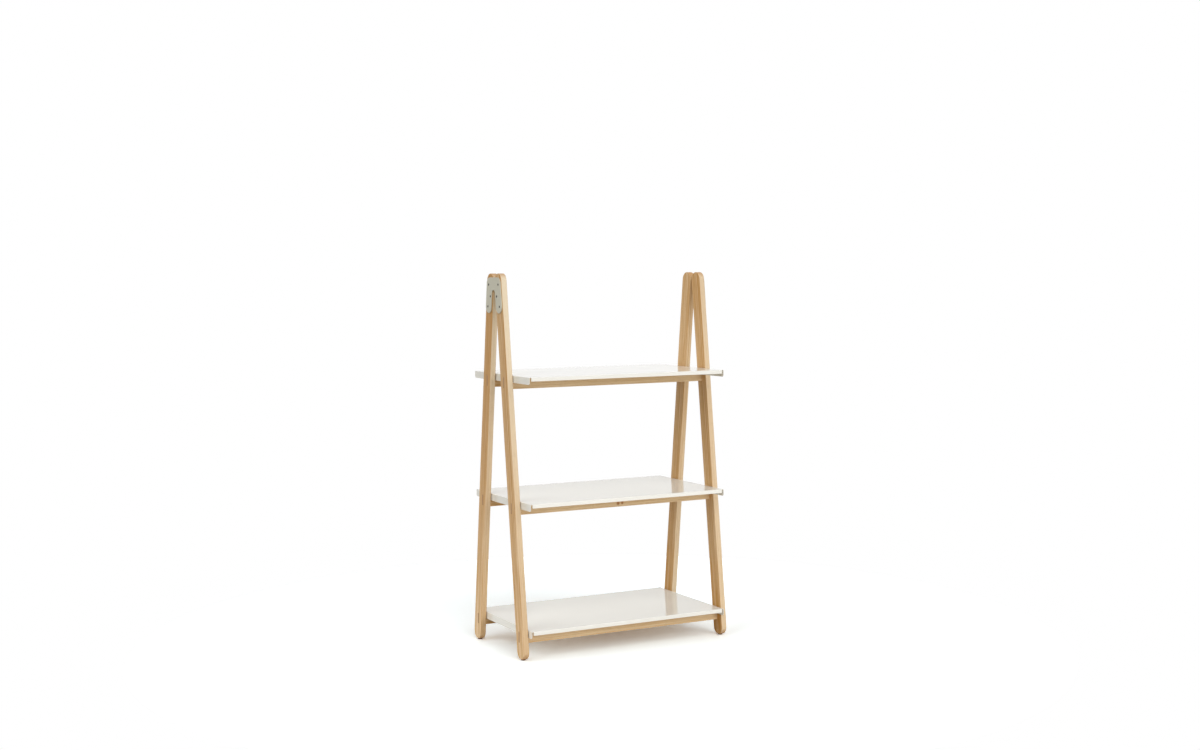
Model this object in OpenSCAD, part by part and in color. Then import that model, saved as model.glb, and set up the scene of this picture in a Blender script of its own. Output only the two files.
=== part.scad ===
// Open bookcase on two leaning ladders of solid ash, with three folded steel shelves.
// +Z is up, -Y is the front, +X is to the right. The origin is on the floor, under the middle.

/* [Ladders] */
// Height from the floor to the tops of the legs
height = 1270; // [1100:10:1600]
// Distance between the centre lines of a front and a back leg, at the floor
foot_spread = 360; // [320:5:400]
// Width of a leg's board, square to its length
leg_w = 54; // [48:1:62]
// Thickness of a leg's board
leg_t = 20; // [18:1:28]
// Space left between the boards at the very top, beyond their width
apex_gap = 1; // [0.5:0.5:6]
// Chamfer along the edges of legs and rails
arris = 1.2; // [0.5:0.1:2.5]

/* [Rails] */
// Height of a rail's board
rail_h = 45; // [42:1:60]
// Thickness of a rail's board
rail_t = 18; // [15:1:22]
// From the outer edge of the leg to the rail's outer face
rail_setback = 25; // [20:1:27]
// Height of the tenon that passes through the leg
tenon_h = 38; // [24:1:40]
// Thickness of the tenon
tenon_t = 10; // [8:1:13]
// Shoulder on the rail's outer face, beside the tenon
tenon_shoulder = 1; // [0.5:0.5:2]
// Glue line round the tenon
glue_gap = 0.1; // [0.05:0.05:0.2]

/* [Shelves] */
// Length of a shelf, over its end flanges
shelf_l = 740; // [600:10:1000]
// Depth of a shelf, over its lips
shelf_d = 440; // [420:5:520]
// Height of the bottom shelf's top
bottom_shelf_z = 100; // [90:1:140]
// Height of the middle shelf's top
middle_shelf_z = 520; // [400:5:640]
// Height of the top shelf's top
top_shelf_z = 934; // [800:2:960]
// Thickness of the sheet
sheet = 1.5; // [1:0.1:2]
// Outer radius of the folds
fold_r = 3; // [2.5:0.5:4]
// Depth of the lips at the front and back
lip_h = 13; // [10:1:20]
// Depth of the flanges at the two ends
flange_h = 24; // [22:1:36]
// Radius of the flanges' lower corners
flange_corner_r = 8; // [4:1:12]
// Width of the slit between a lip and a flange
corner_slit = 4; // [3:0.5:6]
// Space between a flange and the legs beside it
side_gap = 2; // [1:0.5:4]
// Space between a rail and the slot that drops over it
slot_gap = 0.5; // [0.3:0.1:1]

/* [Apex plates] */
// Thickness of a plate
plate_t = 3; // [2.5:0.5:4]
// From the edges of the legs to the plate's edge
plate_inset = 5; // [4:0.5:7]
// From the tops of the legs to the plate's top
plate_drop = 13; // [10:1:20]
// Height of the plate
plate_h = 119; // [116:1:140]
// Height of the plate above its slot
plate_web = 42; // [36:1:50]

/* [Screws] */
// Diameter of a screw's shank
screw_d = 4; // [3.5:0.5:4.5]
// Diameter of its countersunk head
screw_head_d = 8; // [7.5:0.5:9]
// Length of a screw, over its head
screw_l = 17; // [14:0.5:18]
// Width of its hexagon socket, across flats
socket_w = 2.5; // [2:0.5:3]
// From the tops of the legs down to the upper, middle and lower screws
upper_screw_drop = 37; // [33:1:42]
middle_screw_drop = 76; // [70:1:84]
lower_screw_drop = 110; // [106:1:114]
// How far the upper and lower screws stand outside the leg's centre line
outer_screw_shift = 6; // [0:0.5:8]
// How far the middle screw stands inside it
inner_screw_shift = 11; // [4:0.5:12]
// Space round the screws and nails in their holes
hole_gap = 0.05; // [0.05:0.05:0.2]

/* [Glides] */
// Height of a glide
glide_h = 4; // [3:0.5:6]
// Diameter of a glide
glide_d = 16; // [12:1:19]
// Length of a glide's nail, over its head
nail_l = 20; // [16:1:26]
// Diameter of the nail
nail_d = 2.5; // [2:0.5:3]
// Diameter of the nail's head
nail_head_d = 6; // [5:0.5:7]
// Thickness of the nail's head
nail_head_h = 1; // [0.8:0.1:1.2]
// Plastic under the nail's head
nail_cover = 1.5; // [1:0.5:2]
// From a glide's edge to the edge of its flat seat on the leg
seat_rim = 1; // [0.5:0.5:1.5]
// Chamfer round the under side of a glide
glide_chamfer = 1; // [0.5:0.1:1.5]

/* [Hidden] */
$fn = 64;

// Levels and spans
levels = [bottom_shelf_z, middle_shelf_z, top_shelf_z];
clear_span = shelf_l + 2 * side_gap;
leg_x = clear_span / 2;
outer_x = leg_x + leg_t;

// The lean of the legs, and the place of a leg's centre line at a height
apex_spread = leg_w + apex_gap;
lean = atan((foot_spread - apex_spread) / (2 * height));
function centre_y(z) = foot_spread / 2 - tan(lean) * z;
function outer_y(z) = centre_y(z) + leg_w / 2 / cos(lean);

// The round ends of a leg: the lower one is cut flat where the glide sits
seat_w = glide_d + 2 * seat_rim;
leg_r = leg_w / 2;
foot_z = glide_h + sqrt(pow(leg_r, 2) - pow(seat_w / 2, 2));
head_z = height - leg_r;
bar_l = (head_z - foot_z) / cos(lean);

// A rail's outer face, its middle height and its tenon, for a shelf level
function rail_z(level) = level - sheet - rail_h / 2;
function rail_y(level) = outer_y(rail_z(level)) - rail_setback;
function tenon_y(level) = rail_y(level) - tenon_shoulder - tenon_t / 2;

// The apex plate: its lobes run down the legs, and its slot ends in a round
lobe_r = leg_r - plate_inset;
plate_top = height - plate_drop;
lobe_top = plate_top - lobe_r;
lobe_bottom = plate_top - plate_h + lobe_r;
lobe_l = (lobe_top - lobe_bottom) / cos(lean);
slot_z = (plate_top - plate_web - foot_spread / 2 * cos(lean) + lobe_r) / (1 - sin(lean));
slot_ease = 0.2;
slot_r = centre_y(slot_z) * cos(lean) - lobe_r + slot_ease;

// The screws' places on a leg, as height and distance from the middle of the frame
screws = [
    [height - upper_screw_drop, outer_screw_shift],
    [height - middle_screw_drop, -inner_screw_shift],
    [height - lower_screw_drop, outer_screw_shift]
];
function screw_y(screw) = centre_y(screw[0]) + screw[1];
screw_head_h = (screw_head_d - screw_d) / 2;
screw_tip = screw_d;
screw_point_d = 0.5;
socket_depth = 1.6;

// How far a cut runs past the face that it opens
cut_past = 1;

// Finishes
ash = "#dcc29a";
ash_rail = "#cfae7c";
white_coat = "#ecebe6";
grey_coat = "#bcbbac";
black_steel = "#2d2b28";
brown_plastic = "#4a3524";
steel = "#b5b5b5";

// Copies a front left piece to a corner of the frame
module at_corner(right, back) {
    mirror([right, 0, 0]) mirror([0, back, 0]) children();
}

// A rectangle with chamfered corners
module arris_rect(w, h, c) {
    polygon([
        [c - w / 2, -h / 2], [w / 2 - c, -h / 2], [w / 2, c - h / 2], [w / 2, h / 2 - c],
        [w / 2 - c, h / 2], [c - w / 2, h / 2], [-w / 2, h / 2 - c], [-w / 2, c - h / 2]
    ]);
}

// A slot with round ends, standing along Y
module round_slot(w, h) {
    square([w, h - w], center = true);
    for (end = [-1, 1]) translate([0, end * (h - w) / 2]) circle(d = w);
}

// Turns a flat outline drawn in Y and Z, and its thickness to X
module stand_in_x() {
    rotate([90, 0, 90]) children();
}

// The half disc that ends a leg's board, with the board's own chamfers
module board_end() {
    stand_in_x() rotate_extrude(angle = 180, $fn = 96)
        polygon([
            [0, -leg_t / 2], [leg_r - arris, -leg_t / 2], [leg_r, arris - leg_t / 2],
            [leg_r, leg_t / 2 - arris], [leg_r - arris, leg_t / 2], [0, leg_t / 2]
        ]);
}

// A front left leg's board, before its joints are cut
module leg_board() {
    translate([-leg_x - leg_t / 2, -centre_y(foot_z), foot_z]) rotate([-lean, 0, 0]) {
        linear_extrude(bar_l) arris_rect(leg_t, leg_w, arris);
        mirror([0, 0, 1]) board_end();
        translate([0, 0, bar_l]) board_end();
    }
}

// Through mortises for the three rails
module mortises() {
    for (level = levels)
        translate([-outer_x - cut_past, -tenon_y(level), rail_z(level)]) stand_in_x()
            linear_extrude(leg_t + 2 * cut_past)
                round_slot(tenon_t + 2 * glue_gap, tenon_h + 2 * glue_gap);
}

// Places children at the three screws of the front left leg, looking inwards along +X
module at_screws() {
    for (screw = screws)
        translate([-outer_x - plate_t, -screw_y(screw), screw[0]]) rotate([0, 90, 0]) children();
}

// Places children under the front left leg's seat
module at_foot() {
    translate([-leg_x - leg_t / 2, -centre_y(foot_z), 0]) children();
}

// A countersunk screw along +Z, its head's face at the origin; grow widens and deepens it to a hole
module screw_body(grow = 0) {
    cylinder(h = screw_head_h, d1 = screw_head_d + 2 * grow, d2 = screw_d + 2 * grow);
    cylinder(h = screw_l - screw_tip + grow, d = screw_d + 2 * grow);
    translate([0, 0, screw_l - screw_tip + grow])
        cylinder(h = screw_tip, d1 = screw_d + 2 * grow, d2 = screw_point_d);
}

// A nail along +Z, its head's face at the origin; grow widens and deepens it to a hole
module nail_body(grow = 0) {
    translate([0, 0, -grow]) cylinder(h = nail_head_h + 2 * grow, d = nail_head_d + 2 * grow);
    cylinder(h = nail_l + grow, d = nail_d + 2 * grow);
}

module leg(right, back) {
    color(ash) at_corner(right, back) difference() {
        leg_board();
        translate([-outer_x - cut_past, -foot_spread, glide_h - leg_w])
            cube([leg_t + 2 * cut_past, foot_spread, leg_w]);
        mortises();
        at_screws() screw_body(hole_gap);
        at_foot() translate([0, 0, nail_cover]) nail_body(hole_gap);
    }
}

// A rail under a shelf, with a bare-faced tenon through the leg at each end
module rail(level, back) {
    tenon_l = 2 * outer_x;
    color(ash_rail) at_corner(0, back) {
        translate([-leg_x, -rail_y(level) + rail_t / 2, rail_z(level)]) stand_in_x()
            linear_extrude(clear_span) arris_rect(rail_t, rail_h, arris);
        for (right = [0, 1]) mirror([right, 0, 0])
            translate([-outer_x, -tenon_y(level), rail_z(level)]) stand_in_x()
                linear_extrude(leg_t) round_slot(tenon_t, tenon_h);
    }
}

// The section of a fold: a quarter ring round the origin, from up to outwards
module fold_round() {
    intersection() {
        difference() {
            circle(r = fold_r);
            circle(r = fold_r - sheet);
        }
        square(2 * fold_r);
    }
}

// The section of a lip: a fold with the sheet hanging from it
module lip_section() {
    fold_round();
    translate([fold_r - sheet, fold_r - lip_h]) square([sheet, lip_h - fold_r]);
}

// The outline of an end flange below its fold, in Y and Z, with the level's top at 0
module flange_outline() {
    difference() {
        translate([-shelf_d / 2, -flange_h]) square([shelf_d, flange_h - fold_r]);
        for (end = [-1, 1]) translate([end * shelf_d / 2, -flange_h]) difference() {
            square(2 * flange_corner_r, center = true);
            translate([-end * flange_corner_r, flange_corner_r]) circle(r = flange_corner_r);
        }
    }
}

// The slots that drop over the front and back rails, just inside the legs
module rail_slots(level) {
    slot_w = rail_t + 2 * slot_gap;
    for (end = [-1, 1], face = [-1, 1])
        translate([
            end * (shelf_l / 2 - fold_r / 2), face * (rail_y(level) - rail_t / 2), -sheet - flange_h / 2
        ])
            cube([2 * fold_r, slot_w, flange_h], center = true);
}

// A shelf: one sheet with lips at the front and back and flanges at the ends
module shelf(level) {
    lip_l = shelf_l - 2 * fold_r - 2 * corner_slit;
    color(white_coat) translate([0, 0, level]) difference() {
        union() {
            translate([0, 0, -sheet / 2]) cube([shelf_l - 2 * fold_r, shelf_d - 2 * fold_r, sheet], center = true);
            for (face = [0, 1]) mirror([0, face, 0])
                translate([-lip_l / 2, shelf_d / 2 - fold_r, -fold_r]) stand_in_x()
                    linear_extrude(lip_l) lip_section();
            for (end = [0, 1]) mirror([end, 0, 0]) {
                translate([shelf_l / 2 - fold_r, shelf_d / 2, -fold_r]) rotate([90, 0, 0])
                    linear_extrude(shelf_d) fold_round();
                translate([shelf_l / 2 - sheet, 0, 0]) stand_in_x() linear_extrude(sheet) flange_outline();
            }
        }
        rail_slots(level);
    }
}

// A lobe of an apex plate along +Y, from the middle of its lower round end
module plate_lobe() {
    translate([-lobe_r, 0]) square([2 * lobe_r, lobe_l]);
    for (y = [0, lobe_l]) translate([0, y]) circle(r = lobe_r, $fn = 96);
}

// The outline of an apex plate, in Y and Z
module plate_outline() {
    for (face = [-1, 1])
        translate([face * centre_y(lobe_bottom), lobe_bottom]) rotate(face * lean) plate_lobe();
    difference() {
        polygon([
            [-centre_y(slot_z), slot_z], [centre_y(slot_z), slot_z],
            [centre_y(lobe_top), plate_top], [-centre_y(lobe_top), plate_top]
        ]);
        translate([0, slot_z]) circle(r = slot_r);
    }
}

module apex_plate(right) {
    color(grey_coat) at_corner(right, 0) difference() {
        translate([-outer_x - plate_t, 0, 0]) stand_in_x() linear_extrude(plate_t) plate_outline();
        for (back = [0, 1]) at_corner(0, back) at_screws() screw_body(hole_gap);
    }
}

// Six screws that hold an apex plate to its two legs
module plate_screws(right) {
    color(black_steel) at_corner(right, 0) for (back = [0, 1]) at_corner(0, back) at_screws() difference() {
        screw_body();
        cylinder(h = 2 * socket_depth, d = socket_w / cos(30), center = true, $fn = 6);
    }
}

module glide(right, back) {
    color(brown_plastic) at_corner(right, back) at_foot() difference() {
        rotate_extrude() polygon([
            [0, 0], [glide_d / 2 - glide_chamfer, 0], [glide_d / 2, glide_chamfer],
            [glide_d / 2, glide_h], [0, glide_h]
        ]);
        translate([0, 0, nail_cover]) nail_body(hole_gap);
    }
}

module glide_nails() {
    color(steel) for (right = [0, 1], back = [0, 1]) at_corner(right, back) at_foot()
        translate([0, 0, nail_cover]) nail_body();
}

module front_left_leg() leg(0, 0);
module back_left_leg() leg(0, 1);
module front_right_leg() leg(1, 0);
module back_right_leg() leg(1, 1);
module bottom_front_rail() rail(bottom_shelf_z, 0);
module bottom_back_rail() rail(bottom_shelf_z, 1);
module middle_front_rail() rail(middle_shelf_z, 0);
module middle_back_rail() rail(middle_shelf_z, 1);
module top_front_rail() rail(top_shelf_z, 0);
module top_back_rail() rail(top_shelf_z, 1);
module bottom_shelf() shelf(bottom_shelf_z);
module middle_shelf() shelf(middle_shelf_z);
module top_shelf() shelf(top_shelf_z);
module left_apex_plate() apex_plate(0);
module right_apex_plate() apex_plate(1);
module left_plate_screws() plate_screws(0);
module right_plate_screws() plate_screws(1);
module front_left_glide() glide(0, 0);
module back_left_glide() glide(0, 1);
module front_right_glide() glide(1, 0);
module back_right_glide() glide(1, 1);

front_left_leg();
back_left_leg();
front_right_leg();
back_right_leg();
bottom_front_rail();
bottom_back_rail();
middle_front_rail();
middle_back_rail();
top_front_rail();
top_back_rail();
bottom_shelf();
middle_shelf();
top_shelf();
left_apex_plate();
right_apex_plate();
left_plate_screws();
right_plate_screws();
front_left_glide();
back_left_glide();
front_right_glide();
back_right_glide();
glide_nails();
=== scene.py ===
import math

import bpy
from mathutils import Matrix, Vector


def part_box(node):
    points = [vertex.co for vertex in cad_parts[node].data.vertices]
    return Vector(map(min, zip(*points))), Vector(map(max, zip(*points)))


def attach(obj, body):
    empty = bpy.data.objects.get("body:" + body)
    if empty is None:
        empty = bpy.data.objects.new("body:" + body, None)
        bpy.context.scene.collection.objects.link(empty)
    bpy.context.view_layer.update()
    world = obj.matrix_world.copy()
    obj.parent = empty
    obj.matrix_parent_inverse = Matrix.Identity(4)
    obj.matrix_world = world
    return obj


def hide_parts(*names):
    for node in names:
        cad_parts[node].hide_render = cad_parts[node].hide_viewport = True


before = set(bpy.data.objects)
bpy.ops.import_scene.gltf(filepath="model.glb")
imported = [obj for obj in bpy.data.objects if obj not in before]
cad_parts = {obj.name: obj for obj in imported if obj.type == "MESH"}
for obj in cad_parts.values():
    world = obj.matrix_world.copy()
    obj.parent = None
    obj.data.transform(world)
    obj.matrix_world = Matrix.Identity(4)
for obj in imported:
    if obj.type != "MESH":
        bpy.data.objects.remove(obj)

# what a fresh file holds goes out first
for startName in ("Cube", "Light", "Camera"):
    if startName in bpy.data.objects:
        bpy.data.objects.remove(bpy.data.objects[startName])
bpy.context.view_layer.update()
print("frame loaded:", len(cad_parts), "nodes")

mm = 0.001
pickSlack = 0.02 * mm    # a part this near to a place is picked there
cutSlack = 0.001 * mm    # a point this near to a cutting plane lies on it
easeSteps = 2            # steps in the small easing of an edge
roundBelow = 35          # degrees: faces that meet at less shade as one round
quarterTurn = math.pi / 2

# side is -1 at the left and 1 at the right, and face is -1 at the front and 1 at the back
sideWords = {-1: "left", 1: "right"}
faceWords = {-1: "front", 1: "back"}
levels = ("bottom", "middle", "top")


# Tools for working on one piece at a time

def deselectAll():
    bpy.ops.object.select_all(action="DESELECT")


def makeActive(piece):
    if bpy.context.object and bpy.context.object.mode != "OBJECT":
        bpy.ops.object.mode_set(mode="OBJECT")
    deselectAll()
    piece.select_set(True)
    bpy.context.view_layer.objects.active = piece


# Opens the piece in edit mode with only the wanted points, edges or faces selected.
# The test gets the middle of each and its corners.
def choose(piece, kind, wanted):
    makeActive(piece)
    bpy.ops.object.mode_set(mode="EDIT")
    bpy.ops.mesh.select_mode(type=kind)
    bpy.ops.mesh.select_all(action="DESELECT")
    bpy.ops.object.mode_set(mode="OBJECT")
    points = piece.data.vertices
    parts = {"VERT": points, "EDGE": piece.data.edges, "FACE": piece.data.polygons}[kind]
    for part in parts:
        corners = [part.co] if kind == "VERT" else [points[i].co for i in part.vertices]
        part.select = wanted(sum(corners, Vector()) / len(corners), corners)
    bpy.ops.object.mode_set(mode="EDIT")


def chooseAllFaces(piece):
    choose(piece, "FACE", lambda middle, corners: True)


def closeEditing():
    bpy.ops.object.mode_set(mode="OBJECT")


# Cuts the whole mesh along a plane; the side that the normal points away from can go
def cutAlong(piece, point, normal, clearBelow=False):
    chooseAllFaces(piece)
    bpy.ops.mesh.bisect(plane_co=point, plane_no=normal, clear_inner=clearBelow, use_fill=clearBelow,
                        threshold=cutSlack)
    closeEditing()


# Turns a piece, moves it, and puts its place in its mesh
def place(piece, at=(0, 0, 0), turn=(0, 0, 0)):
    makeActive(piece)
    piece.location = at
    piece.rotation_euler = turn
    bpy.ops.object.transform_apply(location=True, rotation=True, scale=True)
    return piece


def applyModifier(piece, kind, **settings):
    makeActive(piece)
    bpy.ops.object.modifier_add(type=kind)
    modifier = piece.modifiers[-1]
    for key, value in settings.items():
        setattr(modifier, key, value)
    bpy.ops.object.modifier_apply(modifier=modifier.name)


def join(pieces):
    makeActive(pieces[0])
    for piece in pieces:
        piece.select_set(True)
    bpy.ops.object.join()
    return bpy.context.object


def combine(piece, tool, operation):
    applyModifier(piece, "BOOLEAN", object=tool, operation=operation, solver="EXACT")
    bpy.data.objects.remove(tool)


def copyOf(piece):
    twin = piece.copy()
    twin.data = piece.data.copy()
    bpy.context.scene.collection.objects.link(twin)
    return twin


# Mirrors a copy to the other side of the middle and turns its faces outwards again
def mirrorOf(piece, scale):
    twin = copyOf(piece)
    twin.scale = scale
    place(twin)
    chooseAllFaces(twin)
    bpy.ops.mesh.normals_make_consistent(inside=False)
    closeEditing()
    return twin


# Eases the edges that are sharper than an angle in degrees
def softenEdges(piece, width, steps=easeSteps, sharperThan=30):
    applyModifier(piece, "BEVEL", width=width, segments=steps, limit_method="ANGLE",
                  angle_limit=math.radians(sharperThan), use_clamp_overlap=True)


# Shades flats flat and rounds round
def shade(piece):
    makeActive(piece)
    bpy.ops.object.shade_smooth_by_angle(angle=math.radians(roundBelow))
    applyModifier(piece, "WEIGHTED_NORMAL", keep_sharp=True, weight=90)


# Names a finished piece, ties it to the frame and gives it its finish
def finishPiece(piece, name, material, finish, *nodes):
    piece.name = name
    piece.data.name = name
    piece.data.materials.clear()
    piece.data.materials.append(material)
    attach(piece, "root")
    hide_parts(*nodes)


# Tools for materials

# Turns an sRGB hex code into the linear values that the nodes take
def fromHex(code):
    values = [int(code[i:i + 2], 16) / 255 for i in (1, 3, 5)]
    return tuple(v / 12.92 if v <= 0.04045 else ((v + 0.055) / 1.055) ** 2.4 for v in values) + (1.0,)


# Gives each named input of a node a link from another node or a value
def setInputs(tree, node, inputs):
    for socket, source in inputs.items():
        if isinstance(source, bpy.types.NodeSocket):
            tree.links.new(source, node.inputs[socket])
        else:
            node.inputs[socket].default_value = source


def addNode(tree, kind, inputs=None, **settings):
    node = tree.nodes.new(kind)
    for key, value in settings.items():
        setattr(node, key, value)
    setInputs(tree, node, inputs or {})
    return node


def newMaterial(name):
    material = bpy.data.materials.new(name)
    material.use_nodes = True
    tree = material.node_tree
    tree.nodes.clear()
    shader = addNode(tree, "ShaderNodeBsdfPrincipled")
    addNode(tree, "ShaderNodeOutputMaterial", {"Surface": shader.outputs[0]})
    return material, tree, shader


def setStops(ramp, stops):
    elements = ramp.color_ramp.elements
    while len(elements) < len(stops):
        elements.new(0.5)    # its real place follows
    for element, (position, color) in zip(elements, stops):
        element.position = position
        element.color = color


# A noise drawn out along Z, from the real width and length of its grains
def grainPattern(tree, spot, width, length, detail, roughness):
    stretch = (1 / width, 1 / width, 1 / length)
    grainAt = addNode(tree, "ShaderNodeMapping", {"Vector": spot, "Scale": stretch})
    return addNode(tree, "ShaderNodeTexNoise", {"Vector": grainAt.outputs[0], "Scale": 1.0, "Detail": detail,
                                                "Roughness": roughness})


# Ash, plain sawn, planed along the grain, sanded and given a matt lacquer. The eye sees long straight
# rings with a porous darker side, fine dark pores, darker end grain, and almost no shine.
# The pores are drawn several times as wide and long as real ones, so that they show in a render.
# Each range holds the values of a pattern, or of how far a face looks along an axis, between which a
# colour comes or goes. Each depth is how much of it there is at most.
ash = {
    "light": "#e8cca4", "deep": "#bc8840", "edge": "#e6d8be", "endGrain": "#b5834c", "tenonEnd": "#9a6732",
    "pore": "#8f6236", "knot": "#a0642f", "roughness": (0.41, 0.54), "ior": 1.36,
    "ring": 3.4 * mm, "ringTones": ((0.0, 1.0), (0.22, 0.55), (0.6, 0.1), (1.0, 0.75)),
    "sway": {"width": 71.4 * mm, "length": 625 * mm, "detail": 5.0, "roughness": 0.6},
    "waver": 5 * mm,         # how far the sway moves the rings
    "streaks": {"width": 4 * mm, "length": 240 * mm, "detail": 3.0, "roughness": 0.6},
    "streakShare": 0.76,     # of the figure; the rings give the rest
    "figureRange": (0.3, 0.62), "figureDepth": 0.95,
    "pores": {"width": 0.9 * mm, "length": 22 * mm, "detail": 1.0, "roughness": 0.5},
    "poreRange": (0.6, 0.74), "poreDepth": 0.55, "poreRelief": 0.15 * mm, "reliefStrength": 0.35,
    "wideRange": (0.3, 0.9), "endRange": (0.25, 0.95), "endDepth": 0.75,
    "knotHeart": 0.4,        # of the knot's radius
    "knotDepth": 0.9,
    # the foot's deeper tone is painted shade, drawn where the bottom shelf shades the legs near the floor
    "footShadeFade": 250 * mm,    # how far up the foot's deeper tone reaches
}


# The tone of the rings round the pith, which lies beside the board and a little askew to it
def ashRings(tree, boardSpot, board):
    sway = grainPattern(tree, boardSpot, **ash["sway"])
    # the noise runs from 0 to 1, so a half comes off and the rest is doubled
    centred = addNode(tree, "ShaderNodeVectorMath", {0: sway.outputs["Color"], 1: (0.5, 0.5, 0.5)},
                      operation="SUBTRACT")
    wavy = addNode(tree, "ShaderNodeVectorMath", {0: centred.outputs[0], 1: (ash["waver"] * 2,) * 3,
                                                  2: boardSpot}, operation="MULTIPLY_ADD")
    roundPith = addNode(tree, "ShaderNodeMapping", {"Vector": wavy.outputs[0],
                                                    "Location": (*board["pith"], 0.0),
                                                    "Rotation": (*board["askew"], 0.0)})
    # this texture has a ring for each 2 pi / 20 of its scaled distance
    rings = addNode(tree, "ShaderNodeTexWave", {"Vector": roundPith.outputs[0], "Distortion": 0.0,
                                                "Scale": 2 * math.pi / (20 * ash["ring"])},
                    wave_type="RINGS", rings_direction="Z", wave_profile="SAW")
    ringTone = addNode(tree, "ShaderNodeValToRGB", {"Fac": rings.outputs["Fac"]})
    setStops(ringTone, [(position, (tone, tone, tone, 1)) for position, tone in ash["ringTones"]])
    return ringTone.outputs["Color"]


# How much of the pores' colour there is: short dark dashes, mostly in the early wood
def ashPores(tree, boardSpot, ringTone):
    noise = grainPattern(tree, boardSpot, **ash["pores"])
    dashes = addNode(tree, "ShaderNodeMapRange", {"Value": noise.outputs["Fac"],
                                                  "From Min": ash["poreRange"][0],
                                                  "From Max": ash["poreRange"][1],
                                                  "To Min": 0.0, "To Max": ash["poreDepth"]})
    return addNode(tree, "ShaderNodeMath", {0: dashes.outputs["Result"], 1: ringTone},
                   operation="MULTIPLY").outputs[0]


# How deep the colour is, and how much of the narrow faces' paler colour there is. Lengthwise runs along
# the board, and wide is how far a face looks the way that the wide ones do.
def ashDepth(tree, board, ringTone, streaks, lengthwise, wide):
    shares = addNode(tree, "ShaderNodeMix", {"Factor": ash["streakShare"], "A": ringTone, "B": streaks},
                     data_type="FLOAT")
    figure = addNode(tree, "ShaderNodeMapRange", {"Value": shares.outputs["Result"],
                                                  "From Min": ash["figureRange"][0],
                                                  "From Max": ash["figureRange"][1],
                                                  "To Min": 0.0, "To Max": ash["figureDepth"]})
    depth = figure.outputs["Result"]
    # each drifts from the board's lower end over its length, and the foot's painted shade over a part of it
    length = board["length"]
    drifts = ((board["tone"], length), (board["deeper"], length), (board["paler"], length),
              ((board["foot"], 0.0), ash["footShadeFade"]))
    tone, deeper, paler, foot = (
        addNode(tree, "ShaderNodeMapRange", {"Value": lengthwise, "From Min": -length / 2,
                                             "From Max": reach - length / 2, "To Min": start,
                                             "To Max": end}).outputs["Result"]
        for (start, end), reach in drifts)
    narrowDepth, narrowShare, footShadeDepth = (
        addNode(tree, "ShaderNodeMapRange", {"Value": wide, "From Min": ash["wideRange"][0],
                                             "From Max": ash["wideRange"][1], "To Min": onNarrow,
                                             "To Max": onWide}).outputs["Result"]
        for onNarrow, onWide in ((deeper, 0.0), (paler, 0.0), (0.0, foot)))
    for addition in (tone, footShadeDepth, narrowDepth):
        depth = addNode(tree, "ShaderNodeMath", {0: depth, 1: addition}, operation="ADD").outputs[0]
    return depth, narrowShare


# How much of a pin knot's colour there is round its heart
def knotShare(tree, spot, knot):
    distance = addNode(tree, "ShaderNodeVectorMath", {0: spot, 1: knot["at"]}, operation="DISTANCE")
    return addNode(tree, "ShaderNodeMapRange", {"Value": distance.outputs["Value"],
                                                "From Min": ash["knotHeart"] * knot["radius"],
                                                "From Max": knot["radius"],
                                                "To Min": ash["knotDepth"], "To Max": 0.0}).outputs["Result"]


# One board's finish. Its own Z runs along the board, and wideAxis is the way that its wide faces look.
# Tone is how deep the colour is at its two ends, deeper and paler are what its planed narrow faces add
# there, and foot is painted shade: how much deeper its wide faces are drawn near the floor, where the
# bottom shelf shades them.
def ashBoard(name, board):
    material, tree, shader = newMaterial(name)
    spot = addNode(tree, "ShaderNodeTexCoord")
    boardSpot = addNode(tree, "ShaderNodeMapping", {"Vector": spot.outputs["Object"],
                                                    "Location": board["middle"], "Rotation": board["turn"]},
                        vector_type="TEXTURE").outputs[0]
    outwards = addNode(tree, "ShaderNodeMapping", {"Vector": spot.outputs["Normal"],
                                                   "Rotation": board["turn"]},
                       vector_type="TEXTURE").outputs[0]
    lengthwise = addNode(tree, "ShaderNodeSeparateXYZ", {0: boardSpot}).outputs["Z"]
    facing = addNode(tree, "ShaderNodeSeparateXYZ", {0: outwards})
    wide, endwise = (
        addNode(tree, "ShaderNodeMath", {0: facing.outputs[axis]}, operation="ABSOLUTE").outputs[0]
        for axis in (board["wideAxis"], "Z"))
    ringTone = ashRings(tree, boardSpot, board)
    streaks = grainPattern(tree, boardSpot, **ash["streaks"]).outputs["Fac"]
    pores = ashPores(tree, boardSpot, ringTone)
    depth, narrowShare = ashDepth(tree, board, ringTone, streaks, lengthwise, wide)
    wood = addNode(tree, "ShaderNodeValToRGB", {"Fac": depth})
    setStops(wood, [(0.0, fromHex(ash["light"])), (1.0, fromHex(ash["deep"]))])
    # end grain soaks up more lacquer and stays darker
    endShare = addNode(tree, "ShaderNodeMapRange", {"Value": endwise, "From Min": ash["endRange"][0],
                                                    "From Max": ash["endRange"][1],
                                                    "To Min": 0.0, "To Max": ash["endDepth"]})
    layers = [(narrowShare, ash["edge"]), (pores, ash["pore"]),
              (endShare.outputs["Result"], board["endColor"])]
    layers += [(knotShare(tree, spot.outputs["Object"], knot), ash["knot"]) for knot in board["knots"]]
    color = wood.outputs["Color"]
    for share, layerColor in layers:
        color = addNode(tree, "ShaderNodeMix", {"Factor": share, "A": color, "B": fromHex(layerColor)},
                        data_type="RGBA").outputs["Result"]
    gloss = addNode(tree, "ShaderNodeMapRange", {"Value": streaks, "To Min": ash["roughness"][0],
                                                 "To Max": ash["roughness"][1]})
    relief = addNode(tree, "ShaderNodeBump", {"Height": pores, "Strength": ash["reliefStrength"],
                                              "Distance": -ash["poreRelief"]})
    setInputs(tree, shader, {"Base Color": color, "Roughness": gloss.outputs["Result"],
                             "Normal": relief.outputs[0], "IOR": ash["ior"]})
    return material


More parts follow.
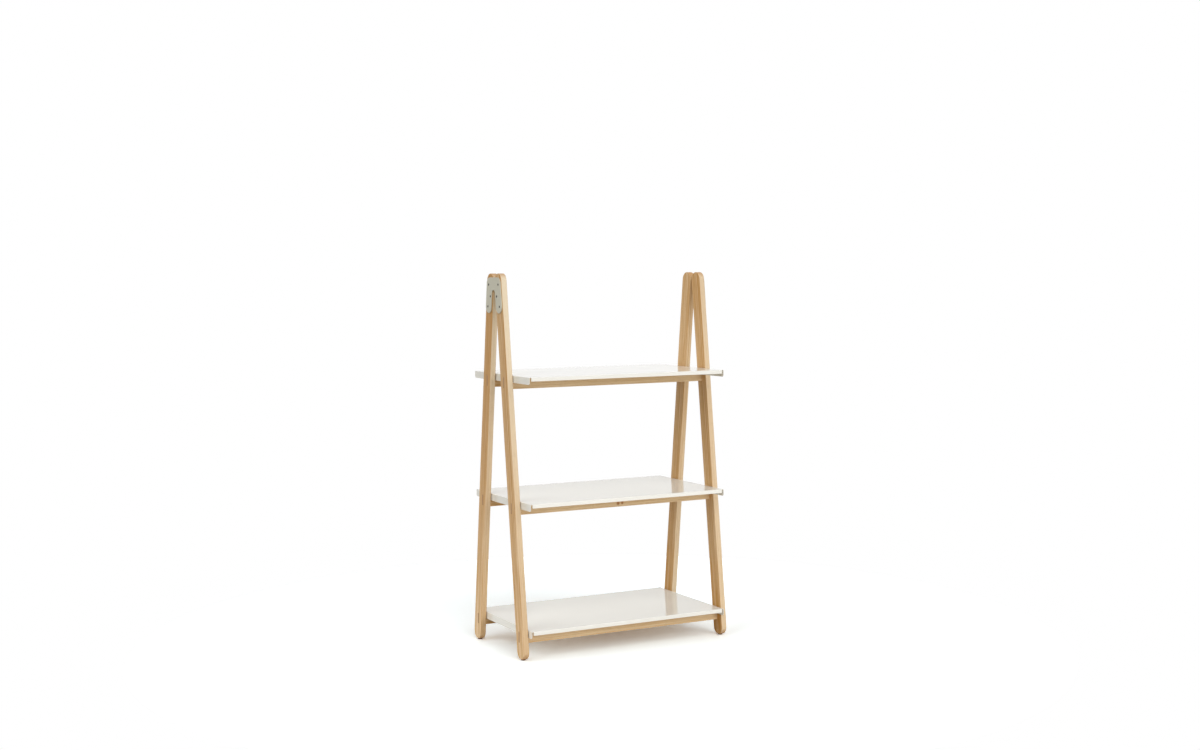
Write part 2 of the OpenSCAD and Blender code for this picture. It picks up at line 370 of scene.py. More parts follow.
# Powder coat: polyester powder baked on steel. It flows almost flat, with a soft orange peel of one to
# three millimetres. The shelves' coat is glossy, so legs mirror in it; the plates' coat is satin.
powder = {"cloud": 160 * mm, "cloudDetail": 2.0, "peelDetail": 1.0, "peelStrength": 0.25, "ior": 1.5}
shelfPowder = {"colors": ("#eeede8", "#eae9e3"), "roughness": (0.06, 0.12), "peel": 2.5 * mm,
               "peelDepth": 0.002 * mm}
platePowder = {"colors": ("#cac8b8", "#c2c0af"), "roughness": (0.37, 0.43), "peel": 1.2 * mm,
               "peelDepth": 0.03 * mm}


def powderCoat(name, coat):
    material, tree, shader = newMaterial(name)
    spot = addNode(tree, "ShaderNodeTexCoord").outputs["Object"]
    cloud = addNode(tree, "ShaderNodeTexNoise", {"Vector": spot, "Scale": 1 / powder["cloud"],
                                                 "Detail": powder["cloudDetail"]}).outputs["Fac"]
    peel = addNode(tree, "ShaderNodeTexNoise", {"Vector": spot, "Scale": 1 / coat["peel"],
                                                "Detail": powder["peelDetail"]}).outputs["Fac"]
    shades = addNode(tree, "ShaderNodeMix", {"Factor": cloud, "A": fromHex(coat["colors"][0]),
                                             "B": fromHex(coat["colors"][1])}, data_type="RGBA")
    gloss = addNode(tree, "ShaderNodeMapRange", {"Value": cloud, "To Min": coat["roughness"][0],
                                                 "To Max": coat["roughness"][1]})
    relief = addNode(tree, "ShaderNodeBump", {"Height": peel, "Strength": powder["peelStrength"],
                                              "Distance": coat["peelDepth"]})
    setInputs(tree, shader, {"Base Color": shades.outputs["Result"], "Roughness": gloss.outputs["Result"],
                             "Normal": relief.outputs[0], "IOR": powder["ior"]})
    return material


# Black oxide on turned screw steel: a thin dark layer with the metal's own soft shine.
screwSteel = {"colors": ("#0b0a0a", "#141312"), "roughness": (0.42, 0.58),
              "grain": {"width": 1.11 * mm, "length": 1.11 * mm, "detail": 3.0, "roughness": 0.5}}
# Bright drawn steel: fine lines along the wire.
nailSteel = {"colors": ("#c2c2c0", "#d6d6d4"), "roughness": (0.2, 0.36),
             "grain": {"width": 0.667 * mm, "length": 16.7 * mm, "detail": 3.0, "roughness": 0.5}}


def steelSurface(name, steel):
    material, tree, shader = newMaterial(name)
    spot = addNode(tree, "ShaderNodeTexCoord").outputs["Object"]
    grain = grainPattern(tree, spot, **steel["grain"]).outputs["Fac"]
    shades = addNode(tree, "ShaderNodeMix", {"Factor": grain, "A": fromHex(steel["colors"][0]),
                                             "B": fromHex(steel["colors"][1])}, data_type="RGBA")
    gloss = addNode(tree, "ShaderNodeMapRange", {"Value": grain, "To Min": steel["roughness"][0],
                                                 "To Max": steel["roughness"][1]})
    setInputs(tree, shader, {"Base Color": shades.outputs["Result"], "Roughness": gloss.outputs["Result"],
                             "Metallic": 1.0})
    return material


# Polyethylene, moulded in a spark-eroded tool: a fine even grain and a dull waxy shine.
glidePlastic = {"colors": ("#4a3524", "#57402c"), "grain": 0.8 * mm, "grainDetail": 2.0,
                "reliefStrength": 0.4, "reliefDepth": 0.05 * mm, "roughness": 0.5, "ior": 1.51}


def mouldedPlastic(name, plastic):
    material, tree, shader = newMaterial(name)
    spot = addNode(tree, "ShaderNodeTexCoord").outputs["Object"]
    grain = addNode(tree, "ShaderNodeTexNoise", {"Vector": spot, "Scale": 1 / plastic["grain"],
                                                 "Detail": plastic["grainDetail"]}).outputs["Fac"]
    shades = addNode(tree, "ShaderNodeMix", {"Factor": grain, "A": fromHex(plastic["colors"][0]),
                                             "B": fromHex(plastic["colors"][1])}, data_type="RGBA")
    relief = addNode(tree, "ShaderNodeBump", {"Height": grain, "Strength": plastic["reliefStrength"],
                                              "Distance": plastic["reliefDepth"]})
    setInputs(tree, shader, {"Base Color": shades.outputs["Result"], "Roughness": plastic["roughness"],
                             "Normal": relief.outputs[0], "IOR": plastic["ior"]})
    return material


# Leg boards, with their places taken from the frame. The arris is the easing of their long edges, and
# the seat is the flat under a round foot.
legBoard = {"width": 54 * mm, "seatWidth": 18 * mm, "arris": 1.5 * mm, "arrisSteps": 3, "roundSteps": 96}
legLow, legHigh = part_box("front_left_leg")
legRadius = legBoard["width"] / 2
legThickness = legHigh.x - legLow.x
legX = -(legHigh.x + legLow.x) / 2
seatZ = legLow.z
footZ = seatZ + math.sqrt(legRadius ** 2 - (legBoard["seatWidth"] / 2) ** 2)
headZ = legHigh.z - legRadius
footY = -(legLow.y + legRadius)
headY = -(legHigh.y - legRadius)
lean = math.atan2(footY - headY, headZ - footZ)
barLength = (headZ - footZ) / math.cos(lean)


# How far a leg's centre line stands from the middle, at a height
def centreY(z):
    return footY - (z - footZ) * math.tan(lean)


# A bar with round ends along Z, lying in the YZ plane, from the middle of its lower round end
def roundBar(radius, thickness, length, steps):
    deselectAll()
    bpy.ops.mesh.primitive_cylinder_add(vertices=steps, radius=radius, depth=thickness)
    bar = place(bpy.context.object, turn=(0, quarterTurn, 0))
    cutAlong(bar, (0, 0, 0), (0, 0, 1))
    choose(bar, "FACE", lambda middle, corners: middle.z > 0)
    bpy.ops.mesh.extrude_region_move(TRANSFORM_OT_translate={"value": (0, 0, length)})
    closeEditing()
    return bar


# A plain block, from its size and its middle
def addBlock(size, middle):
    deselectAll()
    bpy.ops.mesh.primitive_cube_add(size=1)
    block = bpy.context.object
    block.scale = size
    return place(block, at=middle)


# Rails: boards planed square, with a round-edged tenon that runs out through each leg

railBoard = {
    "arris": 1.2 * mm, "arrisSteps": 3, "shoulder": 1 * mm, "tenonThickness": 10 * mm,
    "tenonHeight": 38 * mm, "tenonEase": 0.5 * mm, "glueGap": 0.1 * mm, "roundSteps": 32,
}


# The middle of a rail's tenon: beside the rail's middle, because its outer shoulder is the thinner one
def tenonMiddle(level, face):
    low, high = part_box(f"{level}_{faceWords[face]}_rail")
    outer = low.y if face < 0 else high.y
    inset = railBoard["shoulder"] + railBoard["tenonThickness"] / 2
    return Vector((0, outer - face * inset, (low.z + high.z) / 2))


def makeRail(level, face):
    low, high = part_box(f"{level}_{faceWords[face]}_rail")
    span = -2 * legHigh.x
    rail = addBlock((span, high.y - low.y, high.z - low.z), (0, (low.y + high.y) / 2, (low.z + high.z) / 2))
    choose(rail, "EDGE", lambda middle, corners: abs(corners[0].x - corners[1].x) > span / 2)
    bpy.ops.mesh.bevel(offset=railBoard["arris"], offset_type="OFFSET", segments=railBoard["arrisSteps"],
                       affect="EDGES")
    closeEditing()
    radius = railBoard["tenonThickness"] / 2
    tenon = roundBar(radius, high.x - low.x, railBoard["tenonHeight"] - 2 * radius, railBoard["roundSteps"])
    softenEdges(tenon, railBoard["tenonEase"])
    middle = tenonMiddle(level, face)
    place(tenon, at=(0, middle.y, middle.z - railBoard["tenonHeight"] / 2 + radius))
    combine(rail, tenon, "UNION")
    return rail


# Legs: boards with round ends, through mortises, screw holes and a flat seat for the glide

# Drops are how far the screws stand below a leg's top, shifts how far out from its centre line, and
# play is the air round them
screwSet = {
    "drops": (37 * mm, 76 * mm, 110 * mm), "shifts": (6 * mm, -11 * mm, 6 * mm),
    "headWidth": 8 * mm, "shankWidth": 4 * mm, "length": 17 * mm, "tip": 4 * mm, "pointWidth": 0.5 * mm,
    "socketWidth": 2.5 * mm, "socketDepth": 1.6 * mm, "rimEase": 0.15 * mm, "roundSteps": 48,
    "inPlate": 3 * mm, "play": 0.05 * mm,
}
nail = {"width": 2.5 * mm, "cover": 1.5 * mm, "length": 20 * mm}
# a cutting tool starts this far outside the face that it cuts
drill = {"past": 2 * mm, "roundSteps": 24}


# Where the screws stand on a front leg, as height and distance from the middle
def screwPlaces():
    top = legHigh.z
    return [(top - drop, centreY(top - drop) + shift)
            for drop, shift in zip(screwSet["drops"], screwSet["shifts"])]


def addHoleTool(radius, start, end):
    deselectAll()
    bpy.ops.mesh.primitive_cylinder_add(vertices=drill["roundSteps"], radius=radius,
                                        depth=(end - start).length)
    turn = (end - start).to_track_quat("Z", "Y").to_euler()
    return place(bpy.context.object, at=(start + end) / 2, turn=turn)


def addMortiseTool(level):
    middle = tenonMiddle(level, -1)
    radius = railBoard["tenonThickness"] / 2 + railBoard["glueGap"]
    rise = railBoard["tenonHeight"] - railBoard["tenonThickness"]
    mortise = roundBar(radius, 2 * legThickness, rise, railBoard["roundSteps"])
    return place(mortise, at=(-legX, middle.y, middle.z - rise / 2))


def makeFrontLeftLeg():
    leg = roundBar(legRadius, legThickness, barLength, legBoard["roundSteps"])
    place(leg, at=(-legX, -footY, footZ), turn=(-lean, 0, 0))
    cutAlong(leg, (0, 0, seatZ), (0, 0, 1), clearBelow=True)
    softenEdges(leg, legBoard["arris"], legBoard["arrisSteps"])
    tools = [addMortiseTool(level) for level in levels]
    outerX = -legX - legThickness / 2
    play = screwSet["play"]
    depth = screwSet["length"] - screwSet["inPlate"] + 2 * play
    for z, y in screwPlaces():
        tools.append(addHoleTool(screwSet["shankWidth"] / 2 + play, Vector((outerX - drill["past"], -y, z)),
                                 Vector((outerX + depth, -y, z))))
    tools.append(addHoleTool(nail["width"] / 2 + play, Vector((-legX, -footY, 0)),
                             Vector((-legX, -footY, nail["cover"] + nail["length"] + play))))
    combine(leg, join(tools), "DIFFERENCE")
    return leg


# Shelves: one steel sheet, folded down along its four edges

shelfSheet = {
    "sheet": 1.5 * mm, "fold": 3 * mm, "foldSteps": 6, "lip": 13 * mm, "slit": 4 * mm,
    "flangeCorner": 8 * mm, "cornerSteps": 8, "slotGap": 0.5 * mm, "merge": 0.01 * mm,
    "edgeEase": 0.3 * mm, "easedFrom": 50,    # degrees
}


# Folds the wanted edges down round a line, and draws the sheet on straight down from there
def foldDown(shelf, wanted, angle, hinge, axis, drop):
    choose(shelf, "EDGE", wanted)
    bpy.ops.mesh.spin(steps=shelfSheet["foldSteps"], angle=angle, center=hinge, axis=axis)
    bpy.ops.mesh.extrude_edges_move(TRANSFORM_OT_translate={"value": (0, 0, -drop)})
    closeEditing()


# Opens the slots in both end flanges that drop over a rail
def cutRailSlots(shelf, level, face, top):
    railLow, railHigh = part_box(f"{level}_{faceWords[face]}_rail")
    slotLow = railLow.y - shelfSheet["slotGap"]
    slotHigh = railHigh.y + shelfSheet["slotGap"]
    for y in (slotLow, slotHigh):
        cutAlong(shelf, (0, y, 0), (0, 1, 0))
    choose(shelf, "FACE", lambda middle, corners: slotLow < middle.y < slotHigh
           and middle.z < top - shelfSheet["sheet"] + pickSlack)
    bpy.ops.mesh.delete(type="FACE")
    closeEditing()


def makeShelf(level):
    low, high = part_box(f"{level}_shelf")
    fold = shelfSheet["fold"]
    flatX = high.x - fold
    flatY = high.y - fold
    lipX = flatX - shelfSheet["slit"]
    top = high.z
    deselectAll()
    bpy.ops.mesh.primitive_plane_add(size=1)
    shelf = bpy.context.object
    shelf.scale = (2 * flatX, 2 * flatY, 1)
    place(shelf, at=(0, 0, top))
    for x in (-lipX, lipX):
        cutAlong(shelf, (x, 0, top), (1, 0, 0))
    # front and back lips
    for face in (-1, 1):
        foldDown(shelf, lambda middle, corners: abs(middle.y - face * flatY) < pickSlack
                 and abs(middle.x) < lipX - pickSlack, face * quarterTurn, (0, face * flatY, top - fold),
                 (1, 0, 0), shelfSheet["lip"] - fold)
    # end flanges, a little wider than the flat between the lips' folds
    for side in (-1, 1):
        foldDown(shelf, lambda middle, corners: abs(middle.x - side * flatX) < pickSlack
                 and abs(corners[0].y - corners[1].y) > flatY, -side * quarterTurn,
                 (side * flatX, 0, top - fold), (0, 1, 0), top - low.z - fold)
    choose(shelf, "VERT", lambda middle, corners: abs(middle.x) > flatX - pickSlack
           and abs(abs(middle.y) - flatY) < pickSlack)
    bpy.ops.transform.resize(value=(1, high.y / flatY, 1), center_override=(0, 0, 0))
    closeEditing()
    choose(shelf, "VERT", lambda middle, corners: abs(middle.z - low.z) < pickSlack and abs(middle.x) > flatX)
    bpy.ops.mesh.bevel(offset=shelfSheet["flangeCorner"], segments=shelfSheet["cornerSteps"],
                       affect="VERTICES")
    closeEditing()
    for face in (-1, 1):
        cutRailSlots(shelf, level, face, top)
    chooseAllFaces(shelf)
    bpy.ops.mesh.remove_doubles(threshold=shelfSheet["merge"])
    bpy.ops.mesh.normals_make_consistent(inside=False)
    closeEditing()
    # the open sheet's faces have to look up and out before it gets its thickness
    if max(shelf.data.polygons, key=lambda polygon: polygon.area).normal.z < 0:
        chooseAllFaces(shelf)
        bpy.ops.mesh.flip_normals()
        closeEditing()
    applyModifier(shelf, "SOLIDIFY", thickness=shelfSheet["sheet"], offset=-1, use_even_offset=True)
    softenEdges(shelf, shelfSheet["edgeEase"], sharperThan=shelfSheet["easedFrom"])
    return shelf


# Apex plates: laser-cut steel with two lobes down the legs, countersunk for the screws

apexPlate = {
    "inset": 5 * mm, "web": 42 * mm, "slotEase": 0.2 * mm, "ease": 0.5 * mm, "roundSteps": 96,
    "cutPast": 1 * mm,    # how far a cutting tool stands out of a face
    "bore": 5 * mm,       # how far a screw's hole runs on from its countersink
    "merge": 0.005 * mm,
    "flatWithin": 0.5,    # degrees
}


def addCountersink(z, y, outerX):
    headRadius = screwSet["headWidth"] / 2 + screwSet["play"]
    shankRadius = screwSet["shankWidth"] / 2 + screwSet["play"]
    depth = headRadius - shankRadius
    deselectAll()
    bpy.ops.mesh.primitive_cone_add(vertices=screwSet["roundSteps"], radius1=headRadius,
                                    radius2=shankRadius, depth=depth)
    sink = place(bpy.context.object, turn=(0, quarterTurn, 0))
    place(sink, at=(outerX + depth / 2, y, z))
    choose(sink, "FACE", lambda middle, corners: middle.x > outerX + depth - pickSlack)
    bpy.ops.mesh.extrude_region_move(TRANSFORM_OT_translate={"value": (apexPlate["bore"], 0, 0)})
    choose(sink, "FACE", lambda middle, corners: middle.x < outerX + pickSlack)
    bpy.ops.mesh.extrude_region_move(TRANSFORM_OT_translate={"value": (-apexPlate["cutPast"], 0, 0)})
    closeEditing()
    return sink


def makeLeftPlate():
    low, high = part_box("left_apex_plate")
    radius = legRadius - apexPlate["inset"]
    lobeTop = high.z - radius
    lobeBottom = low.z + radius
    middleX = (low.x + high.x) / 2
    thickness = high.x - low.x
    # the slot between the lobes ends in an arc that touches both and leaves the web above it
    slotRise = high.z - apexPlate["web"] + radius - centreY(0) * math.cos(lean)
    slotZ = slotRise / (1 - math.sin(lean))
    slotRadius = centreY(slotZ) * math.cos(lean) - radius + apexPlate["slotEase"]
    lobes = []
    for face in (-1, 1):
        lobe = roundBar(radius, thickness, (lobeTop - lobeBottom) / math.cos(lean), apexPlate["roundSteps"])
        lobes.append(place(lobe, at=(middleX, face * centreY(lobeBottom), lobeBottom),
                           turn=(face * lean, 0, 0)))
    # the web is a block that narrows upwards with the legs
    plate = addBlock((thickness, 2 * centreY(slotZ), high.z - slotZ), (middleX, 0, (high.z + slotZ) / 2))
    choose(plate, "VERT", lambda middle, corners: middle.z > slotZ + pickSlack)
    bpy.ops.transform.resize(value=(1, centreY(lobeTop) / centreY(slotZ), 1), center_override=(0, 0, 0))
    closeEditing()
    past = apexPlate["cutPast"]
    slot = addHoleTool(slotRadius, Vector((low.x - past, 0, slotZ)), Vector((high.x + past, 0, slotZ)))
    combine(plate, slot, "DIFFERENCE")
    for lobe in lobes:
        combine(plate, lobe, "UNION")
    sinks = [addCountersink(z, face * y, low.x) for z, y in screwPlaces() for face in (-1, 1)]
    combine(plate, join(sinks), "DIFFERENCE")
    chooseAllFaces(plate)
    bpy.ops.mesh.remove_doubles(threshold=apexPlate["merge"])
    bpy.ops.mesh.dissolve_limited(angle_limit=math.radians(apexPlate["flatWithin"]))
    bpy.ops.mesh.normals_make_consistent(inside=False)
    closeEditing()
    softenEdges(plate, apexPlate["ease"])
    return plate


# Screws: countersunk, with a hexagon socket

def makeScrew():
    headRadius = screwSet["headWidth"] / 2
    headDepth = headRadius - screwSet["shankWidth"] / 2
    shank = screwSet["length"] - screwSet["tip"] - headDepth
    deselectAll()
    bpy.ops.mesh.primitive_cone_add(vertices=screwSet["roundSteps"], radius1=headRadius,
                                    radius2=screwSet["shankWidth"] / 2, depth=headDepth)
    screw = place(bpy.context.object, at=(0, 0, headDepth / 2))
    choose(screw, "FACE", lambda middle, corners: middle.z > headDepth - pickSlack)
    bpy.ops.mesh.extrude_region_move(TRANSFORM_OT_translate={"value": (0, 0, shank)})
    bpy.ops.mesh.extrude_region_move(TRANSFORM_OT_translate={"value": (0, 0, screwSet["tip"])})
    pointShare = screwSet["pointWidth"] / screwSet["shankWidth"]
    bpy.ops.transform.resize(value=(pointShare, pointShare, 1), center_override=(0, 0, screwSet["length"]))
    choose(screw, "EDGE", lambda middle, corners: max(corner.z for corner in corners) < pickSlack)
    bpy.ops.mesh.bevel(offset=screwSet["rimEase"], segments=easeSteps, affect="EDGES")
    closeEditing()
    # a hexagon's corners lie further out than its flats
    socketRadius = screwSet["socketWidth"] / 2 / math.cos(math.pi / 6)
    deselectAll()
    bpy.ops.mesh.primitive_cylinder_add(vertices=6, radius=socketRadius, depth=2 * screwSet["socketDepth"])
    combine(screw, bpy.context.object, "DIFFERENCE")
    return place(screw, turn=(0, quarterTurn, 0))


def makeLeftScrews(outerX):
    master = makeScrew()
    copies = [place(copyOf(master), at=(outerX, face * y, z)) for z, y in screwPlaces() for face in (-1, 1)]
    bpy.data.objects.remove(master)
    return join(copies)


# Glides: moulded discs with a sunk ring below, nailed under the feet

glideDisc = {
    "edge": 1 * mm, "edgeSteps": 4, "ring": 2 * mm, "sink": 0.4 * mm, "topEase": 0.3 * mm,
    "roundSteps": 64,
}


def makeGlide(node):
    low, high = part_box(node)
    deselectAll()
    bpy.ops.mesh.primitive_cylinder_add(vertices=glideDisc["roundSteps"], radius=(high.x - low.x) / 2,
                                        depth=high.z - low.z)
    glide = place(bpy.context.object, at=(low + high) / 2)
    choose(glide, "EDGE", lambda middle, corners: max(corner.z for corner in corners) < low.z + pickSlack)
    bpy.ops.mesh.bevel(offset=glideDisc["edge"], segments=glideDisc["edgeSteps"], affect="EDGES")
    choose(glide, "FACE", lambda middle, corners: middle.z < low.z + pickSlack
           and len(corners) == glideDisc["roundSteps"])
    bpy.ops.mesh.inset(thickness=glideDisc["ring"])
    bpy.ops.mesh.inset(thickness=glideDisc["sink"])
    bpy.ops.transform.translate(value=(0, 0, glideDisc["sink"]))
    choose(glide, "EDGE", lambda middle, corners: min(corner.z for corner in corners) > high.z - pickSlack)
    bpy.ops.mesh.bevel(offset=glideDisc["topEase"], segments=easeSteps, affect="EDGES")
    closeEditing()
    return glide


# Each leg by its side and face: where the pith lies across its board, in metres, how far the board is
# sawn askew to it, in radians, and its tones at the foot and at the top. Beside the wood's own drift,
# part of these tones is painted light: the deeper ones are painted shade low on the legs, where the
# shelves and the other leg shade them, and the paler narrow face at the top of the back left leg is
# painted light in its gap beside the front left leg. Foot is painted shade near the floor.
legWoodAndPaintedLight = {
    (-1, -1): {"pith": (0.075, 0.03), "askew": (0.006, 0.01), "tone": (-0.07, 0.14),
               "deeper": (0.5, 0.15), "paler": (0.4, 0.9), "foot": 0.0},
    (-1, 1): {"pith": (0.09, -0.045), "askew": (-0.008, 0.007), "tone": (-0.22, 0.5),
              "deeper": (0.45, -0.3), "paler": (0.25, 0.85), "foot": 0.0},
    (1, -1): {"pith": (-0.08, 0.055), "askew": (0.007, -0.009), "tone": (-0.1, 0.22),
              "deeper": (0.2, 0.2), "paler": (0.5, 0.6), "foot": 0.55},
    (1, 1): {"pith": (-0.085, -0.06), "askew": (-0.005, 0.011), "tone": (0.13, 0.0),
             "deeper": (0.0, -0.2), "paler": (0.7, 0.0), "foot": 0.3},
}

frontLeftLeg = makeFrontLeftLeg()
legs = {(side, face): frontLeftLeg if (side, face) == (-1, -1) else mirrorOf(frontLeftLeg, (-side, -face, 1))
        for side, face in legWoodAndPaintedLight}
for (side, face), leg in legs.items():
    legName = f"{faceWords[face]}_{sideWords[side]}"
    board = legWoodAndPaintedLight[(side, face)] | {
        "middle": (side * legX, face * (footY + headY) / 2, (footZ + headZ) / 2), "turn": (face * lean, 0, 0),
        "length": barLength, "wideAxis": "X", "endColor": ash["endGrain"], "knots": (),
    }
    lacqueredAsh = ashBoard(f"lacqueredAsh{faceWords[face].title()}{sideWords[side].title()}Leg", board)
    shade(leg)
    finishPiece(leg, f"{legName}_leg_board", lacqueredAsh, "ash_leg", f"{legName}_leg")
print("legs made")

# The rails' woods by their face, and two pin knots on the middle front rail, right of its middle and
# below its top
# the front rails' lighter tone is painted light on faces that the shelves' lips shade, and the back rails'
# deeper tone is painted shade under the shelves
railWoodAndPaintedLight = {
    -1: {"pith": (0.11, 0.02), "askew": (-0.004, 0.005), "tone": (-0.4, -0.36)},
    1: {"pith": (0.11, 0.06), "askew": (0.004, 0.005), "tone": (0.0, 0.1)},
}
railKnots = (
    {"right": 6.1 * mm, "below": 33.3 * mm, "radius": 8 * mm},
    {"right": 22.1 * mm, "below": 32.4 * mm, "radius": 7 * mm},
)
for level in levels:
    for face in (-1, 1):
        railName = f"{level}_{faceWords[face]}_rail"
        railLow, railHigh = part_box(railName)
        knots = railKnots if railName == "middle_front_rail" else ()
        board = railWoodAndPaintedLight[face] | {
            "deeper": (0.0, 0.0), "paler": (0.3, 0.3), "foot": 0.0, "endColor": ash["tenonEnd"],
            "middle": tuple((railLow + railHigh) / 2), "turn": (0, quarterTurn, 0),
            "length": railHigh.x - railLow.x, "wideAxis": "Y",
            "knots": [{"at": (knot["right"], railLow.y, railHigh.z - knot["below"]), "radius": knot["radius"]}
                      for knot in knots],
        }
        lacqueredAsh = ashBoard(f"lacqueredAsh{level.title()}{faceWords[face].title()}Rail", board)
        rail = makeRail(level, face)
        shade(rail)
        finishPiece(rail, f"{railName}_board", lacqueredAsh, "ash_rail", railName)
print("rails made")

whiteCoat = powderCoat("glossyWhitePowderCoat", shelfPowder)
for level in levels:
    shelf = makeShelf(level)
    shade(shelf)
    finishPiece(shelf, f"{level}_shelf_sheet", whiteCoat, "white_powder_coat", f"{level}_shelf")
print("shelves made")

greyCoat = powderCoat("satinGreyPowderCoat", platePowder)
blackSteel = steelSurface("blackOxideSteel", screwSteel)
leftPlate = makeLeftPlate()
leftScrews = makeLeftScrews(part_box("left_apex_plate")[0].x)
acrossX = (-1, 1, 1)
for side, plate, screws in ((-1, leftPlate, leftScrews),
                            (1, mirrorOf(leftPlate, acrossX), mirrorOf(leftScrews, acrossX))):
    word = sideWords[side]
    shade(plate)
    shade(screws)
    finishPiece(plate, f"{word}_coated_apex_plate", greyCoat, "grey_powder_coat", f"{word}_apex_plate")
    finishPiece(screws, f"{word}_countersunk_screws", blackSteel, "black_screw_steel", f"{word}_plate_screws")
print("apex plates and screws made")

brownPlastic = mouldedPlastic("mouldedPolyethylene", glidePlastic)
for side, face in legs:
    glideName = f"{faceWords[face]}_{sideWords[side]}"
    glide = makeGlide(f"{glideName}_glide")
    shade(glide)
    finishPiece(glide, f"{glideName}_moulded_glide", brownPlastic, "brown_glide_plastic",
                f"{glideName}_glide")
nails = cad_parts["glide_nails"]    # no side shows them, so they keep their CAD mesh
nails.data.materials.clear()
nails.data.materials.append(steelSurface("brightDrawnSteel", nailSteel))
print("glides made")

# Camera at the photograph's place. The picture's width, height, focus and centre are in its pixels, the
# place and the farthest that it sees in metres, the sensor in millimetres and the turns in degrees.
picture = {
    "width": 1200, "height": 750, "focus": 1588.2, "centreX": 600.0, "centreY": 399.0,
    "at": (-2.5602, -4.8466, 1.2705), "turnedRight": 27.88, "tiltedUp": -4.55, "rolled": -0.38,
    "sensor": 36, "farthest": 200,
}


def addCamera():
    camera = bpy.data.objects.new("photoCamera", bpy.data.cameras.new("photoCamera"))
    bpy.context.scene.collection.objects.link(camera)
    yaw, pitch, roll = (math.radians(picture[key]) for key in ("turnedRight", "tiltedUp", "rolled"))
    ahead = Vector((math.sin(yaw) * math.cos(pitch), math.cos(yaw) * math.cos(pitch), math.sin(pitch)))
    levelRight = Vector((math.cos(yaw), -math.sin(yaw), 0))
    upright = levelRight.cross(ahead)
    right = math.cos(roll) * levelRight + math.sin(roll) * upright
    above = -math.sin(roll) * levelRight + math.cos(roll) * upright
    turned = Matrix((right, above, -ahead)).transposed().to_4x4()
    camera.matrix_world = Matrix.Translation(picture["at"]) @ turned
    camera.data.sensor_width = picture["sensor"]
    camera.data.lens = picture["focus"] / picture["width"] * picture["sensor"]
    camera.data.shift_x = (picture["width"] / 2 - picture["centreX"]) / picture["width"]
    camera.data.shift_y = (picture["centreY"] - picture["height"] / 2) / picture["width"]
    camera.data.clip_end = picture["farthest"]
    bpy.context.scene.camera = camera


# White studio: a floor that keeps the shadow, a white surround, and soft boxes on every side. The
# surround's own light is warm and fades from the horizon to the top. The floor is shown brighter than
# it is, with a faint glow, so that it is white where it is lit and warm in the shadow. Softness is how
# wide each soft box looks, in degrees.
studio = {
    "floorColor": "#dedad2", "floorRoughness": 0.9, "floorRadius": 1.6, "floorSteps": 96,
    "floorShown": (1.16, 1.33, 1.42, 1.0), "floorGlow": (0.117, 0.037, 0.0, 1.0),
    "surround": 0.22, "surroundColor": (1.0, 0.9, 0.66, 1.0), "backdropColor": (1.0, 1.0, 1.0, 1.0),
    "softness": 60,
}
# Where each soft box stands from the object. Those that aren't mirrored only light the object: in the
# glossy shelves they would glare.
softboxes = {
    "front": {"at": (0, -1, 0.7), "strength": 1.76, "mirrored": True},
    "lowFront": {"at": (0.25, -1, -0.05), "strength": 0.79, "mirrored": True},
    "left": {"at": (-1, 0, 0.66), "strength": 1.33, "mirrored": True},
    "right": {"at": (1, 0, 0.8), "strength": 0.5, "mirrored": False},
    "back": {"at": (0, 1, 0.8), "strength": 0.72, "mirrored": False},
}


# Gives 1 where the camera sees a thing, also in a mirror or through glass, and 0 where it only lights
def whereSeen(tree):
    rays = addNode(tree, "ShaderNodeLightPath")
    seen = addNode(tree, "ShaderNodeMath", {0: rays.outputs["Is Camera Ray"],
                                            1: rays.outputs["Is Glossy Ray"]}, operation="MAXIMUM")
    return addNode(tree, "ShaderNodeMath", {0: seen.outputs[0], 1: rays.outputs["Is Transmission Ray"]},
                   operation="MAXIMUM").outputs[0]


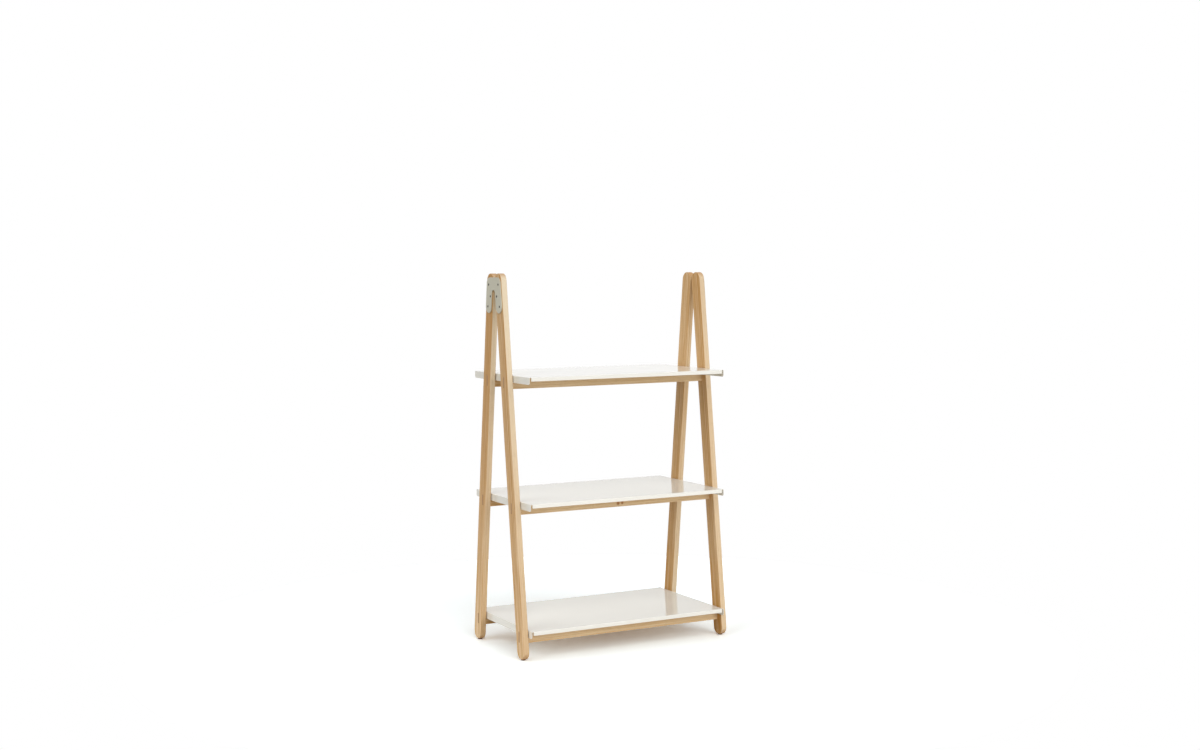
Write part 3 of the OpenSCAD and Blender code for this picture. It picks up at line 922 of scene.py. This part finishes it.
def addFloor():
    deselectAll()
    bpy.ops.mesh.primitive_circle_add(vertices=studio["floorSteps"], radius=studio["floorRadius"],
                                      fill_type="NGON")
    floor = bpy.context.object
    floor.name = "studio_floor"
    floorPaint, tree, shader = newMaterial("paintedStudioFloor")
    setInputs(tree, shader, {"Base Color": fromHex(studio["floorColor"]),
                             "Roughness": studio["floorRoughness"]})
    paper = addNode(tree, "ShaderNodeBsdfDiffuse", {"Color": studio["floorShown"]})
    glow = addNode(tree, "ShaderNodeEmission", {"Color": studio["floorGlow"]})
    lifted = addNode(tree, "ShaderNodeAddShader", {0: paper.outputs[0], 1: glow.outputs[0]})
    both = addNode(tree, "ShaderNodeMixShader", {0: whereSeen(tree), 1: shader.outputs[0],
                                                 2: lifted.outputs[0]})
    tree.links.new(both.outputs[0], tree.nodes["Material Output"].inputs["Surface"])
    floor.data.materials.append(floorPaint)


def addSurround():
    world = bpy.data.worlds.new("whiteSurround")
    bpy.context.scene.world = world
    world.use_nodes = True
    tree = world.node_tree
    tree.nodes.clear()
    direction = addNode(tree, "ShaderNodeTexCoord")
    rise = addNode(tree, "ShaderNodeSeparateXYZ", {0: direction.outputs["Generated"]})
    roomLight = addNode(tree, "ShaderNodeMapRange", {"Value": rise.outputs["Z"], "From Min": 0.0,
                                                     "From Max": 1.0, "To Min": studio["surround"],
                                                     "To Max": 0.0})
    roomGlow = addNode(tree, "ShaderNodeBackground", {"Color": studio["surroundColor"],
                                                      "Strength": roomLight.outputs["Result"]})
    whiteGlow = addNode(tree, "ShaderNodeBackground", {"Color": studio["backdropColor"]})
    glow = addNode(tree, "ShaderNodeMixShader", {0: whereSeen(tree), 1: roomGlow.outputs[0],
                                                 2: whiteGlow.outputs[0]})
    addNode(tree, "ShaderNodeOutputWorld", {"Surface": glow.outputs[0]})


def addSoftbox(word, at, strength, mirrored):
    lamp = bpy.data.lights.new(f"{word}Softbox", "SUN")
    lamp.energy = strength
    lamp.angle = math.radians(studio["softness"])
    softbox = bpy.data.objects.new(f"{word}Softbox", lamp)
    bpy.context.scene.collection.objects.link(softbox)
    softbox.rotation_euler = Vector(at).to_track_quat("Z", "Y").to_euler()
    softbox.visible_glossy = mirrored


addCamera()
addFloor()
addSurround()
for word, softbox in softboxes.items():
    addSoftbox(word, **softbox)
bpy.context.scene.view_settings.view_transform = "Standard"
print("studio lit")
